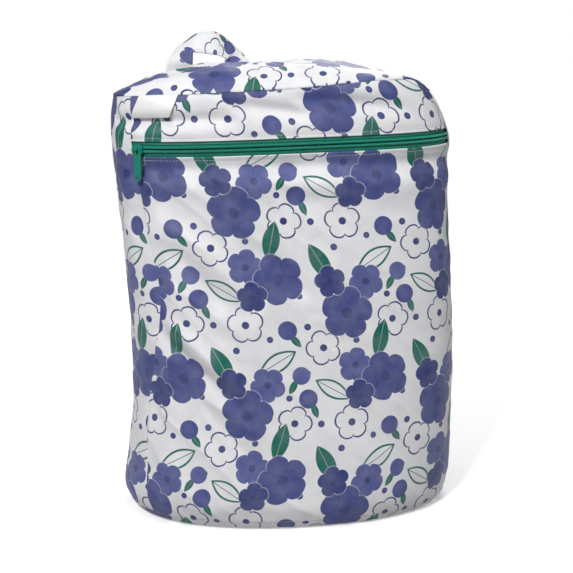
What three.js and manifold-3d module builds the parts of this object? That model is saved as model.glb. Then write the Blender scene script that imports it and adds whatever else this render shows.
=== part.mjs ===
// A cloth wet bag that stands by itself: a printed cloth tub on a rounded base,
// a shallow hood above a front zip, a domed top with a short looped strap at the back,
// and a bare woven tab in the hood's top seam. Millimetres, +Z up, front towards -Y.
import * as THREE from "three";
import { mergeVertices } from "three/addons/utils/BufferGeometryUtils.js";
import Module from "manifold-3d";

const manifold = await Module();
manifold.setup();

// Overall sizes of the standing bag
const BAG_WIDTH = 326;
const BAG_DEPTH = 208;
const ZIP_HEIGHT = 363.5; // floor to the zip's centre line at mid front
const HOOD_HEIGHT = 56.5; // zip's centre line to the seam round the top
const ZIP_TILT = 4; // how much lower the zip lies at its left end, and higher at its right
const BASE_RISE = 9; // floor to the seam round the base
const TOP_DOME = 18; // how far the middle of the top stands above its seam
const TOP_SHOULDER = 2.4; // power of the dome's curve, higher for a flatter middle and a rounder edge

// Cloth and seams
const CLOTH = 1.8;
const SEAM_GAP = 0.3;

// Zip
const ZIP_OPENING = 15; // between the two folded cloth edges
const TAPE_HALF_WIDTH = 14;
const TAPE_SPLIT = 1.2; // from the zip's centre line to each tape's inner edge
const TAPE_TUCK = 0.6; // clear space between the cloth and the tape behind it
const TAPE = 0.9;
const CHAIN_WIDTH = 5.6;
const CHAIN_DEPTH = 2.6;
const CHAIN_GROOVE = 0.8;

// Slider and pull
const SLIDER_LENGTH = 11;
const SLIDER_WIDTH = 9.6;
const SLIDER_PLATE = 1.2;
const SLIDER_CLEARANCE = 0.5;
const SLIDER_BACK_CLEARANCE = 1.1; // more, because the wall bends away behind it
const SLIDER_POST = 1.6; // width of the post that joins its two plates
const SLIDER_FLANGE = 1;
const SLIDER_EDGE = 0.3; // rounding of its small edges
const SLIDER_FROM_SEAM = 7; // slider's middle to the left side seam
const BAIL_WIRE = 1.4;
const BAIL_LEG_OFFSET = 1.3; // from the slider's middle to the leg that carries the pull
const PULL_LENGTH = 32.6;
const PULL_WIDTH = 7;
const PULL_THICKNESS = 1.3;
const PULL_SLOT_LENGTH = 6;
const PULL_HOLE = 3;

// Strap handle in the seam at the back of the top
const STRAP_WIDTH = 25.4;
const STRAP_THICKNESS = 2.4;
const STRAP_SPAN = 57; // between the middles of its two ends
const STRAP_RISE = 28;
const STRAP_REACH = 9;
const STRAP_OFFSET = -70; // middle of the strap, from the bag's middle
const STRAP_CLEARANCE = 3.4; // from the seam to the strap's two ends

// Woven tab in the top seam at the front left
const TAB_WIDTH = 38;
const TAB_DROP = 21;
const TAB_THICKNESS = 1;
const TAB_LIFT = 2.4; // how far its lower edge stands off the cloth
const TAB_SKEW = 10; // how far its lower edge leans to the left
const TAB_OFFSET = -115; // middle of the tab, along the seam from mid front

const HALF_WIDTH = BAG_WIDTH / 2;
const HALF_DEPTH = BAG_DEPTH / 2;
const BAG_HEIGHT = ZIP_HEIGHT + HOOD_HEIGHT; // floor to the seam round the top
const WALL_HEIGHT = BAG_HEIGHT - BASE_RISE;
const ZIP_LEVEL = (ZIP_HEIGHT - BASE_RISE) / WALL_HEIGHT;

// Plan sections of the wall, from the base seam up. Level is a share of the wall's height,
// width and depth are shares of half the bag's, square is the power of the superellipse,
// and lean moves the section sideways by a share of half the width.
const SECTIONS = [
  { level: 0.0, width: 0.975, depth: 0.965, square: 2.2, lean: 0.012 },
  { level: 0.04, width: 1.0, depth: 1.0, square: 2.25, lean: 0.006 },
  { level: 0.12, width: 0.987, depth: 0.98, square: 2.4, lean: 0.028 },
  { level: 0.28, width: 0.972, depth: 0.905, square: 2.6, lean: 0.043 },
  { level: 0.5, width: 0.972, depth: 0.82, square: 2.8, lean: 0.025 },
  { level: 0.72, width: 0.975, depth: 0.735, square: 2.9, lean: -0.013 },
  { level: 0.86, width: 0.99, depth: 0.69, square: 3.1, lean: -0.028 },
  { level: 0.93, width: 0.968, depth: 0.665, square: 3.2, lean: -0.049 },
  { level: 0.98, width: 0.94, depth: 0.64, square: 3.2, lean: -0.07 },
  { level: 1.0, width: 0.922, depth: 0.61, square: 3.2, lean: -0.083 },
];

// Folds and dents of the wall. Along is the arc from mid front as a share of half the bag's width,
// level the height as a share of the wall's, tilt the fold's direction in degrees, length and breadth
// its half sizes as shares of half the width, and rise how far it stands out (or, below 0, sinks in)
// as a share of half the depth. The first six run along the zip and keep their place beside it.
const FOLDS = [
  { along: -0.67, level: ZIP_LEVEL + 0.0675, tilt: 1, length: 0.34, breadth: 0.05, rise: -0.04 },
  { along: -0.05, level: ZIP_LEVEL + 0.0875, tilt: -10, length: 0.24, breadth: 0.05, rise: -0.035 },
  { along: 0.36, level: ZIP_LEVEL + 0.0945, tilt: -9, length: 0.32, breadth: 0.05, rise: -0.04 },
  { along: -0.38, level: ZIP_LEVEL - 0.0485, tilt: 1, length: 0.6, breadth: 0.055, rise: -0.045 },
  { along: 0.52, level: ZIP_LEVEL - 0.0455, tilt: 0, length: 0.6, breadth: 0.055, rise: -0.045 },
  { along: 0.0, level: ZIP_LEVEL - 0.0905, tilt: 0, length: 0.95, breadth: 0.08, rise: 0.02 },
  { along: -0.42, level: 0.765, tilt: -36, length: 0.14, breadth: 0.05, rise: -0.035 },
  { along: 0.0, level: 0.752, tilt: -21, length: 0.15, breadth: 0.055, rise: -0.035 },
  { along: -0.58, level: 0.566, tilt: -49, length: 0.25, breadth: 0.06, rise: -0.05 },
  { along: -0.47, level: 0.6, tilt: -49, length: 0.25, breadth: 0.06, rise: 0.04 },
  { along: -0.13, level: 0.59, tilt: -42, length: 0.22, breadth: 0.06, rise: -0.04 },
  { along: -0.63, level: 0.354, tilt: -42, length: 0.3, breadth: 0.045, rise: -0.05 },
  { along: -0.57, level: 0.39, tilt: -42, length: 0.3, breadth: 0.05, rise: 0.035 },
  { along: -0.52, level: 0.238, tilt: -49, length: 0.38, breadth: 0.06, rise: -0.035 },
  { along: -0.91, level: 0.75, tilt: 82, length: 0.2, breadth: 0.06, rise: -0.035 },
  { along: -0.82, level: 0.517, tilt: 88, length: 0.25, breadth: 0.06, rise: -0.04 },
  { along: -0.92, level: 0.312, tilt: 89, length: 0.2, breadth: 0.06, rise: -0.035 },
  { along: -1.55, level: 0.5, tilt: 86, length: 0.6, breadth: 0.12, rise: -0.05 },
  { along: 1.6, level: 0.45, tilt: 95, length: 0.6, breadth: 0.12, rise: -0.04 },
];

// Where the two side seams run, in degrees from mid front, by the share of the wall's height.
const SIDE_SEAMS = [
  { level: 0.0, left: -58, right: 66 },
  { level: 0.25, left: -61, right: 66 },
  { level: 0.5, left: -49.5, right: 66 },
  { level: 0.75, left: -53, right: 66 },
  { level: 1.0, left: -53.5, right: 66 },
];

// How far the seam round the top stands above its plain height, by degrees round from mid front.
const RIM = [
  { round: -180, rise: 7 },
  { round: -120, rise: -13 },
  { round: -60, rise: -11 },
  { round: 0, rise: -4 },
  { round: 45, rise: 3 },
  { round: 62, rise: -9 },
  { round: 90, rise: -13 },
  { round: 130, rise: -4 },
  { round: 180, rise: 7 },
];

// Soft dents of the domed top, as shares of half the width and depth.
const TOP_DENTS = [
  { across: -0.15, back: 0.15, radius: 0.22, sink: 0.25 },
  { across: -0.62, back: -0.1, radius: 0.2, sink: 0.22 },
  { across: 0.5, back: -0.25, radius: 0.24, sink: 0.2 },
];

// Stations of the strap from its left end to its right end. Across is a share of half the span,
// up a share of the rise, forward a share of the reach, turn how far the strap has turned over,
// from 0 to 1, and lean how many degrees its face leans back there.
const STRAP_STATIONS = [
  { across: -1, up: 0, forward: 0, turn: 0, lean: 0 },
  { across: -1, up: 0.16, forward: 0, turn: 0, lean: 0 },
  { across: -0.93, up: 0.47, forward: 0.38, turn: 0.15, lean: 0 },
  { across: -0.82, up: 0.78, forward: 0.18, turn: 0.28, lean: 6 },
  { across: -0.63, up: 0.88, forward: -0.06, turn: 0.38, lean: 18 },
  { across: -0.22, up: 0.97, forward: -0.07, turn: 0.45, lean: 49 },
  { across: 0.21, up: 0.9, forward: 0.0, turn: 0.5, lean: 60 },
  { across: 0.55, up: 0.72, forward: -0.24, turn: 0.55, lean: 47 },
  { across: 0.87, up: 0.42, forward: -0.4, turn: 0.66, lean: 25 },
  { across: 1.0, up: 0.14, forward: -0.05, turn: 0.94, lean: 6 },
  { across: 1.0, up: 0, forward: 0, turn: 1, lean: 0 },
];

// Mesh fineness
const FRONT_COLUMNS = 30;
const BACK_COLUMNS = 24;
const FRONT_ROWS = 22;
const HOOD_ROWS = 5;
const TOP_RINGS = 5;
const RING_CROWDING = 0.8; // rings crowd towards the rim below 1
const STRAP_STEPS = 24;
const SMALL_ARC_STEPS = 3;

const bell = (x) => Math.exp(-x * x);
const mix = THREE.MathUtils.lerp;

// Reads a column of a table at any value of its key column, smoothly through the rows.
function tableAt(rows, key, column, value) {
  const last = rows.length - 1;
  const at = THREE.MathUtils.clamp(value, rows[0][key], rows[last][key]);
  let i = 0;
  while (i < last - 1 && rows[i + 1][key] < at) i += 1;
  const slope = (k) => {
    const a = rows[Math.max(k - 1, 0)];
    const b = rows[Math.min(k + 1, last)];
    return (b[column] - a[column]) / (b[key] - a[key]);
  };
  const step = rows[i + 1][key] - rows[i][key];
  const t = (at - rows[i][key]) / step;
  const rise = rows[i + 1][column] - rows[i][column];
  const startSlope = slope(i) * step;
  const endSlope = slope(i + 1) * step;
  const bend = (startSlope - rise) * (1 - t) + (rise - endSlope) * t;
  return rows[i][column] + rise * t + bend * t * (1 - t);
}

// Point of the plain plan section, at an angle from mid front, before any folds.
function planPoint(angle, level) {
  const at = (column) => tableAt(SECTIONS, "level", column, level);
  const power = at("square");
  const reach = (Math.abs(Math.sin(angle)) ** power + Math.abs(Math.cos(angle)) ** power) ** (-1 / power);
  return new THREE.Vector2(
    HALF_WIDTH * (at("lean") + at("width") * reach * Math.sin(angle)),
    -HALF_DEPTH * at("depth") * reach * Math.cos(angle),
  );
}

// Arc length from mid front round the section at half height, kept in a table of small steps.
const ARC_STEPS = 180;
const arcTable = [0];
for (let i = 1; i <= ARC_STEPS; i += 1) {
  const before = planPoint(((i - 1) / ARC_STEPS) * Math.PI, 0.5);
  const here = planPoint((i / ARC_STEPS) * Math.PI, 0.5);
  arcTable.push(arcTable[i - 1] + here.distanceTo(before));
}

function arcAt(angle) {
  const turn = Math.atan2(Math.sin(angle), Math.cos(angle));
  const place = (Math.abs(turn) / Math.PI) * ARC_STEPS;
  const i = Math.min(Math.floor(place), ARC_STEPS - 1);
  return Math.sign(turn) * mix(arcTable[i], arcTable[i + 1], place - i);
}

function angleAtArc(arc) {
  let i = 0;
  while (i < ARC_STEPS - 1 && arcTable[i + 1] < Math.abs(arc)) i += 1;
  const share = (Math.abs(arc) - arcTable[i]) / (arcTable[i + 1] - arcTable[i]);
  return (Math.sign(arc) * (i + share) * Math.PI) / ARC_STEPS;
}

// How far the folds and dents push the wall out at a place.
function foldRise(angle, level) {
  const arc = arcAt(angle) / HALF_WIDTH;
  let total = 0;
  for (const fold of FOLDS) {
    const tilt = THREE.MathUtils.degToRad(fold.tilt);
    const across = arc - fold.along;
    const up = ((level - fold.level) * WALL_HEIGHT) / HALF_WIDTH;
    const lengthwise = (across * Math.cos(tilt) + up * Math.sin(tilt)) / fold.length;
    const crosswise = (up * Math.cos(tilt) - across * Math.sin(tilt)) / fold.breadth;
    total += fold.rise * HALF_DEPTH * bell(crosswise) * bell(lengthwise ** 2);
  }
  return total;
}

// The zip's centre line and the wall's top edge both wander a little in height.
function zipZ(angle) {
  return ZIP_HEIGHT + ZIP_TILT * Math.sin(angle);
}

function rimZ(angle) {
  const turn = Math.atan2(Math.sin(angle), Math.cos(angle));
  return BAG_HEIGHT + tableAt(RIM, "round", "rise", THREE.MathUtils.radToDeg(turn));
}

// Angles of the side seams at a height, the right one a whole turn on when it is reached round the back.
function seamAngle(side, z) {
  return THREE.MathUtils.degToRad(tableAt(SIDE_SEAMS, "level", side, (z - BASE_RISE) / WALL_HEIGHT));
}
const leftSeam = (z) => seamAngle("left", z);
const rightSeam = (z) => seamAngle("right", z);
const leftSeamRoundBack = (z) => leftSeam(z) + 2 * Math.PI;

// Level of a height on the wall: plain up to the zip, then fitted to the sunken rim above it.
function levelAt(angle, z) {
  const zip = ZIP_HEIGHT;
  if (z <= zip) return (z - BASE_RISE) / WALL_HEIGHT;
  return mix(ZIP_LEVEL, 1, (z - zip) / (rimZ(angle) - zip));
}

function plainWall(angle, z) {
  const plan = planPoint(angle, levelAt(angle, z));
  return new THREE.Vector3(plan.x, plan.y, z);
}

// Outward normal of the plain wall, from small steps along it.
function wallNormal(angle, z) {
  const turn = 0.01;
  const climb = 1;
  const top = Math.min(z + climb, rimZ(angle));
  const along = plainWall(angle + turn, z).sub(plainWall(angle - turn, z));
  const up = plainWall(angle, top).sub(plainWall(angle, top - 2 * climb));
  return along.cross(up).normalize();
}

// Point of the wall, at a depth in from its outer face.
function wallPoint(angle, z, depth) {
  const normal = wallNormal(angle, z);
  const out = foldRise(angle, levelAt(angle, z)) - depth;
  return plainWall(angle, z).addScaledVector(normal, out);
}

// Builds a closed solid from two matching grids of points, its outer and its inner face.
function sheetSolid(outer, inner) {
  const rows = outer.length;
  const columns = outer[0].length;
  const positions = [...outer.flat(), ...inner.flat()].flatMap((p) => [p.x, p.y, p.z]);
  const index = [];
  const at = (face, row, column) => (face * rows + row) * columns + column;
  const quad = (a, b, c, d) => index.push(a, b, c, a, c, d);
  for (let r = 0; r < rows - 1; r += 1) {
    for (let c = 0; c < columns - 1; c += 1) {
      quad(at(0, r, c), at(0, r, c + 1), at(0, r + 1, c + 1), at(0, r + 1, c));
      quad(at(1, r, c), at(1, r + 1, c), at(1, r + 1, c + 1), at(1, r, c + 1));
    }
  }
  const top = rows - 1;
  for (let c = 0; c < columns - 1; c += 1) {
    quad(at(0, 0, c + 1), at(0, 0, c), at(1, 0, c), at(1, 0, c + 1));
    quad(at(0, top, c), at(0, top, c + 1), at(1, top, c + 1), at(1, top, c));
  }
  const right = columns - 1;
  for (let r = 0; r < rows - 1; r += 1) {
    quad(at(0, r, 0), at(0, r + 1, 0), at(1, r + 1, 0), at(1, r, 0));
    quad(at(0, r + 1, right), at(0, r, right), at(1, r, right), at(1, r + 1, right));
  }
  return geometryOf(positions, index);
}

// Builds a closed round solid from two matching sets of rings, each after a single middle point.
function discSolid(outerMiddle, outerRings, innerMiddle, innerRings) {
  const spokes = outerRings[0].length;
  const points = [outerMiddle, ...outerRings.flat(), innerMiddle, ...innerRings.flat()];
  const positions = points.flatMap((p) => [p.x, p.y, p.z]);
  const innerStart = 1 + outerRings.length * spokes;
  const at = (face, ring, spoke) => face * innerStart + 1 + ring * spokes + (spoke % spokes);
  const index = [];
  const quad = (a, b, c, d) => index.push(a, b, c, a, c, d);
  const rim = outerRings.length - 1;
  for (let s = 0; s < spokes; s += 1) {
    index.push(0, at(0, 0, s), at(0, 0, s + 1));
    index.push(innerStart, at(1, 0, s + 1), at(1, 0, s));
    for (let r = 0; r < rim; r += 1) {
      quad(at(0, r, s), at(0, r + 1, s), at(0, r + 1, s + 1), at(0, r, s + 1));
      quad(at(1, r, s + 1), at(1, r + 1, s + 1), at(1, r + 1, s), at(1, r, s));
    }
    quad(at(0, rim, s), at(1, rim, s), at(1, rim, s + 1), at(0, rim, s + 1));
  }
  return geometryOf(positions, index);
}

// Builds a closed bar from a list of matching rings, with flat ends.
function barSolid(rings) {
  const around = rings[0].length;
  const positions = rings.flat().flatMap((p) => [p.x, p.y, p.z]);
  const at = (ring, k) => ring * around + (k % around);
  const index = [];
  const last = rings.length - 1;
  for (let r = 0; r < last; r += 1) {
    for (let k = 0; k < around; k += 1) {
      index.push(at(r, k), at(r, k + 1), at(r + 1, k + 1));
      index.push(at(r, k), at(r + 1, k + 1), at(r + 1, k));
    }
  }
  for (let k = 1; k < around - 1; k += 1) {
    index.push(at(0, 0), at(0, k + 1), at(0, k));
    index.push(at(last, 0), at(last, k), at(last, k + 1));
  }
  return geometryOf(positions, index);
}

function geometryOf(positions, index) {
  const geometry = new THREE.BufferGeometry();
  geometry.setAttribute("position", new THREE.Float32BufferAttribute(positions, 3));
  geometry.setIndex(index);
  geometry.computeVertexNormals();
  return geometry;
}

const range = (count) => Array.from({ length: count + 1 }, (_, i) => i / count);

// A cloth panel of the wall from one seam to the next, its lower and upper edges given as heights by angle.
function wallPanel({ from, to, columns, bottom, top, rows, outside = 0, thickness = CLOTH }) {
  const inset = SEAM_GAP / 2 / HALF_WIDTH;
  const face = (depth) =>
    rows.map((v) =>
      range(columns).map((u) => {
        const roughAngle = mix(from(ZIP_HEIGHT), to(ZIP_HEIGHT), u);
        const height = mix(bottom(roughAngle), top(roughAngle), v);
        const angle = mix(from(height) + inset, to(height) - inset, u);
        const low = bottom(angle) + SEAM_GAP / 2;
        const high = top(angle) - SEAM_GAP / 2;
        return wallPoint(angle, mix(low, high, v), depth);
      }),
    );
  return sheetSolid(face(outside), face(outside + thickness));
}

const zipLowEdge = (angle) => zipZ(angle) - ZIP_OPENING / 2;
const zipHighEdge = (angle) => zipZ(angle) + ZIP_OPENING / 2;

// Front of the tub, below the zip
const frontPanel = wallPanel({
  from: leftSeam,
  to: rightSeam,
  columns: FRONT_COLUMNS,
  bottom: () => BASE_RISE,
  top: zipLowEdge,
  rows: range(FRONT_ROWS),
});

// Front of the hood, above the zip
const hoodFront = wallPanel({
  from: leftSeam,
  to: rightSeam,
  columns: FRONT_COLUMNS,
  bottom: zipHighEdge,
  top: rimZ,
  rows: range(HOOD_ROWS),
});

// Sides and back in one piece, from base seam to top seam, its rows level with those of the front
const frontShare = (zipLowEdge(0) - BASE_RISE) / WALL_HEIGHT;
const hoodShare = (zipHighEdge(0) - BASE_RISE) / WALL_HEIGHT;
const backPanel = wallPanel({
  from: rightSeam,
  to: leftSeamRoundBack,
  columns: BACK_COLUMNS,
  bottom: () => BASE_RISE,
  top: rimZ,
  rows: [
    ...range(FRONT_ROWS).map((v) => v * frontShare),
    ...range(HOOD_ROWS).map((v) => mix(hoodShare, 1, v)),
  ],
});

// Domed top: its rim lies on the wall's top edge, a seam gap in from it
function topPoint(angle, share, depth) {
  const rim = wallPoint(angle, rimZ(angle), 0);
  const x = mix(SECTIONS.at(-1).lean * HALF_WIDTH, rim.x, share);
  const y = rim.y * share;
  const crown = BAG_HEIGHT + TOP_DOME;
  let z = mix(crown, rim.z + CLOTH + SEAM_GAP / 2, share ** TOP_SHOULDER);
  for (const dent of TOP_DENTS) {
    const away = Math.hypot(x / HALF_WIDTH - dent.across, y / HALF_DEPTH - dent.back) / dent.radius;
    z -= dent.sink * TOP_DOME * bell(away) * (1 - share ** 4);
  }
  return new THREE.Vector3(x, y, z - depth);
}

const spokesAt = (z) => [
  ...range(FRONT_COLUMNS).map((u) => mix(leftSeam(z), rightSeam(z), u)),
  ...range(BACK_COLUMNS).slice(1, -1).map((u) => mix(rightSeam(z), leftSeamRoundBack(z), u)),
];
const rimSpokes = spokesAt(BAG_HEIGHT);
const baseSpokes = spokesAt(BASE_RISE);
const ringShares = range(TOP_RINGS).slice(1).map((t) => t ** RING_CROWDING);
const topRing = (share, depth) => rimSpokes.map((angle) => topPoint(angle, share, depth));
const topRings = (depth) => ringShares.map((share) => topRing(share, depth));
const topPanel = discSolid(topPoint(0, 0, 0), topRings(0), topPoint(0, 0, CLOTH), topRings(CLOTH));

// Base: flat on the floor, its edge turned up to the base seam
const BASE_PROFILE = [
  { share: 0.5, climb: 0 },
  { share: 0.9, climb: 0 },
  { share: 0.965, climb: 0.25 },
  { share: 1.0, climb: 1.0 },
];
function basePoint(angle, row, depth) {
  const seam = wallPoint(angle, BASE_RISE, 0);
  const z = row.climb * (BASE_RISE - SEAM_GAP / 2);
  const reach = row.share * (1 - (row.climb * depth) / Math.hypot(seam.x, seam.y));
  return new THREE.Vector3(seam.x * reach, seam.y * reach, z + depth * (1 - row.climb));
}
const baseRing = (row, depth) => baseSpokes.map((angle) => basePoint(angle, row, depth));
const baseRings = (depth) => BASE_PROFILE.map((row) => baseRing(row, depth));
const flipped = (rings) => rings.map((ring) => ring.toReversed());
const basePanel = discSolid(
  new THREE.Vector3(0, 0, 0),
  flipped(baseRings(0)),
  new THREE.Vector3(0, 0, CLOTH),
  flipped(baseRings(CLOTH)),
);

// Zip tapes, tucked behind the folded cloth edges
const tapeDepth = CLOTH + TAPE_TUCK;
function zipTape(side) {
  const near = (angle) => zipZ(angle) + side * TAPE_SPLIT;
  const far = (angle) => zipZ(angle) + side * TAPE_HALF_WIDTH;
  return wallPanel({
    from: leftSeam,
    to: rightSeam,
    columns: FRONT_COLUMNS,
    bottom: side > 0 ? near : far,
    top: side > 0 ? far : near,
    rows: range(2),
    outside: tapeDepth,
    thickness: TAPE,
  });
}

// Closed coil chain: two rounded ridges side by side, lying on the tapes
const CHAIN_OUTLINE = [
  { up: -1, out: 0.25 },
  { up: -0.8, out: 0.85 },
  { up: -0.5, out: 1 },
  { up: -0.2, out: 0.9 },
  { up: 0, out: 1 - CHAIN_GROOVE / CHAIN_DEPTH },
  { up: 0.2, out: 0.9 },
  { up: 0.5, out: 1 },
  { up: 0.8, out: 0.85 },
  { up: 1, out: 0.25 },
  { up: 0.9, out: 0 },
  { up: -0.9, out: 0 },
];
const sliderAngle = angleAtArc(arcAt(leftSeam(ZIP_HEIGHT)) + SLIDER_FROM_SEAM);
const chainStart = angleAtArc(arcAt(sliderAngle) - SLIDER_LENGTH / 4);
const chainFloor = tapeDepth - SEAM_GAP;
const chainRings = range(FRONT_COLUMNS).map((u) => {
  const angle = mix(chainStart, rightSeam(ZIP_HEIGHT) - SEAM_GAP / HALF_WIDTH, u);
  const normal = wallNormal(angle, zipZ(angle));
  const rise = foldRise(angle, ZIP_LEVEL) - chainFloor;
  const foot = plainWall(angle, zipZ(angle)).addScaledVector(normal, rise);
  return CHAIN_OUTLINE.map(({ up, out }) => {
    const point = foot.clone().addScaledVector(normal, out * CHAIN_DEPTH);
    point.z += (up * CHAIN_WIDTH) / 2;
    return point;
  });
});
const chain = barSolid(chainRings.map((ring) => ring.toReversed()));

// Turns three.js geometry into a solid that can be joined and cut, and back.
function toSolid(geometry) {
  const bare = geometry.clone();
  bare.deleteAttribute("normal");
  bare.deleteAttribute("uv");
  const merged = mergeVertices(bare, 1e-4);
  return new manifold.Manifold(
    new manifold.Mesh({
      numProp: 3,
      vertProperties: merged.attributes.position.array,
      triVerts: new Uint32Array(merged.index.array),
    }),
  );
}

function fromSolid(solid) {
  const mesh = solid.getMesh();
  return geometryOf(Array.from(mesh.vertProperties), Array.from(mesh.triVerts));
}

// A flat plate in the slider's own frame: outline in x (along the zip) and z (up), and thickness
// outwards along -y.
function plate(shape, inner, outer) {
  const geometry = new THREE.ExtrudeGeometry(shape, {
    depth: outer - inner,
    bevelEnabled: false,
    curveSegments: SMALL_ARC_STEPS,
  });
  geometry.rotateX(Math.PI / 2);
  geometry.translate(0, -inner, 0);
  return geometry;
}

function roundedOutline(left, right, low, high, radius) {
  const shape = new THREE.Shape();
  shape.moveTo(left + radius, low);
  shape.lineTo(right - radius, low);
  shape.absarc(right - radius, low + radius, radius, -Math.PI / 2, 0, false);
  shape.lineTo(right, high - radius);
  shape.absarc(right - radius, high - radius, radius, 0, Math.PI / 2, false);
  shape.lineTo(left + radius, high);
  shape.absarc(left + radius, high - radius, radius, Math.PI / 2, Math.PI, false);
  shape.lineTo(left, low + radius);
  shape.absarc(left + radius, low + radius, radius, Math.PI, Math.PI * 1.5, false);
  return shape;
}

// Heights in the slider's frame, outwards from the cloth's outer face
const chainFace = CHAIN_DEPTH - chainFloor;
const plateFloor = chainFace + SLIDER_CLEARANCE;
const plateFace = plateFloor + SLIDER_PLATE;
const backFace = -(tapeDepth + TAPE + SLIDER_BACK_CLEARANCE);
const bailFloor = plateFace + PULL_THICKNESS + 2 * SLIDER_CLEARANCE;
const bailFace = bailFloor + BAIL_WIRE;
const pullFloor = plateFace + SLIDER_CLEARANCE;

function sliderSolid() {
  const half = SLIDER_LENGTH / 2;
  const tall = SLIDER_WIDTH / 2;
  const wire = BAIL_WIRE / 2;
  const block = (left, right, low, high, radius, inner, outer) =>
    toSolid(plate(roundedOutline(left, right, low, high, radius), inner, outer));
  const front = block(-half, half, -tall, tall, tall / 2, plateFloor, plateFace);
  const back = block(-half, half, -tall, tall, tall / 2, backFace - SLIDER_PLATE, backFace);
  const postHalf = TAPE_SPLIT - SLIDER_CLEARANCE;
  const postLeft = -half + SLIDER_EDGE;
  const postInner = backFace - SLIDER_PLATE / 2;
  const postOuter = plateFloor + SLIDER_PLATE / 2;
  const postRight = postLeft + SLIDER_POST;
  const post = block(postLeft, postRight, -postHalf, postHalf, SLIDER_EDGE, postInner, postOuter);
  const flangeInner = SLIDER_CLEARANCE - tapeDepth;
  const flangeOuter = plateFace - SLIDER_PLATE / 2;
  const flanges = [-tall, tall - SLIDER_FLANGE].map((low) =>
    block(-half / 2, half / 2, low, low + SLIDER_FLANGE, SLIDER_EDGE, flangeInner, flangeOuter),
  );
  const farLeg = BAIL_LEG_OFFSET - PULL_WIDTH / 2 - SLIDER_CLEARANCE - wire;
  const arch = block(farLeg - wire, BAIL_LEG_OFFSET + wire, -wire, wire, wire / 2, bailFloor, bailFace);
  const legs = [farLeg, BAIL_LEG_OFFSET].map((x) =>
    block(x - wire, x + wire, -wire, wire, wire / 2, flangeOuter, bailFace - wire),
  );
  return [back, post, ...flanges, arch, ...legs].reduce((joined, piece) => joined.add(piece), front);
}

// Pull: a flat tab hung on the bail's leg by its slot, with a small round hole near its free end
function pullGeometry() {
  const radius = PULL_WIDTH / 2;
  const drop = PULL_LENGTH - PULL_WIDTH;
  const shape = new THREE.Shape();
  shape.absarc(0, 0, radius, 0, Math.PI, false);
  shape.lineTo(-radius, -drop);
  shape.absarc(0, -drop, radius, Math.PI, 2 * Math.PI, false);
  const slotRadius = BAIL_WIRE / 2 + SLIDER_CLEARANCE;
  const slotDrop = PULL_SLOT_LENGTH - 2 * slotRadius;
  const slot = new THREE.Path();
  slot.absarc(0, 0, slotRadius, 0, Math.PI, false);
  slot.lineTo(-slotRadius, -slotDrop);
  slot.absarc(0, -slotDrop, slotRadius, Math.PI, 2 * Math.PI, false);
  const hole = new THREE.Path();
  hole.absarc(0, -drop, PULL_HOLE / 2, 0, 2 * Math.PI, false);
  shape.holes.push(slot, hole);
  return plate(shape, pullFloor, pullFloor + PULL_THICKNESS);
}

// Point of the back rim at a place across the bag, found by halving the span between the back
// corners.
function backRimAt(x) {
  let low = Math.PI * 0.75;
  let high = Math.PI * 1.25;
  for (let i = 0; i < 24; i += 1) {
    const middle = (low + high) / 2;
    if (plainWall(middle, rimZ(middle)).x > x) low = middle;
    else high = middle;
  }
  return wallPoint(low, rimZ(low), 0);
}

// Strap handle: a flat strap that stands in the back seam at both ends and rolls over between them
function strapGeometry() {
  const seats = [-1, 1].map((side) => backRimAt(STRAP_OFFSET + (side * STRAP_SPAN) / 2));
  const left = new THREE.Vector3(1, 0, 0);
  const stations = STRAP_STATIONS.map((row, order) => ({ ...row, order }));
  const place = (t) => {
    const at = (column) => tableAt(stations, "order", column, t * (stations.length - 1));
    const [across, up, forward, turn, lean] = ["across", "up", "forward", "turn", "lean"].map(at);
    return { across, up, forward, turn, lean: THREE.MathUtils.degToRad(lean) };
  };
  const centre = (t) => {
    const { across, up, forward } = place(t);
    const point = seats[0].clone().lerp(seats[1], (1 + across) / 2);
    point.y -= forward * STRAP_REACH;
    point.z += CLOTH + STRAP_CLEARANCE + up * STRAP_RISE;
    return point;
  };
  const rings = range(STRAP_STEPS).map((t) => {
    const step = 0.5 / STRAP_STEPS;
    const along = centre(Math.min(t + step, 1)).sub(centre(Math.max(t - step, 0))).normalize();
    const { turn, lean } = place(t);
    const roll = Math.PI * (1 - turn);
    const over = new THREE.Vector3(0, Math.cos(lean), Math.sin(lean));
    const wide = left.clone().multiplyScalar(Math.cos(roll)).addScaledVector(over, Math.sin(roll));
    wide.addScaledVector(along, -wide.dot(along)).normalize();
    const face = along.clone().cross(wide);
    wide.multiplyScalar(STRAP_WIDTH / 2);
    face.multiplyScalar(STRAP_THICKNESS / 2);
    const corner = (w, f) => centre(t).addScaledVector(wide, w).addScaledVector(face, f);
    return [corner(-1, -1), corner(0, -1), corner(1, -1), corner(1, 1), corner(0, 1), corner(-1, 1)];
  });
  return barSolid(rings);
}

// Woven tab: hangs from the top seam, a little askew and clear of the cloth
function tabGeometry() {
  const rows = range(4);
  const columns = range(6);
  const lift = (down) => TAB_THICKNESS + SEAM_GAP + TAB_LIFT * down ** 2;
  const face = (depth) =>
    rows.map((v) =>
      columns.map((u) => {
        const down = 1 - v;
        const arc = TAB_OFFSET + (u - 0.5) * TAB_WIDTH - down * TAB_SKEW;
        const angle = angleAtArc(arc);
        const top = rimZ(angle);
        return wallPoint(angle, top - down * TAB_DROP, depth - lift(down));
      }),
    );
  return sheetSolid(face(0), face(TAB_THICKNESS));
}

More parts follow.
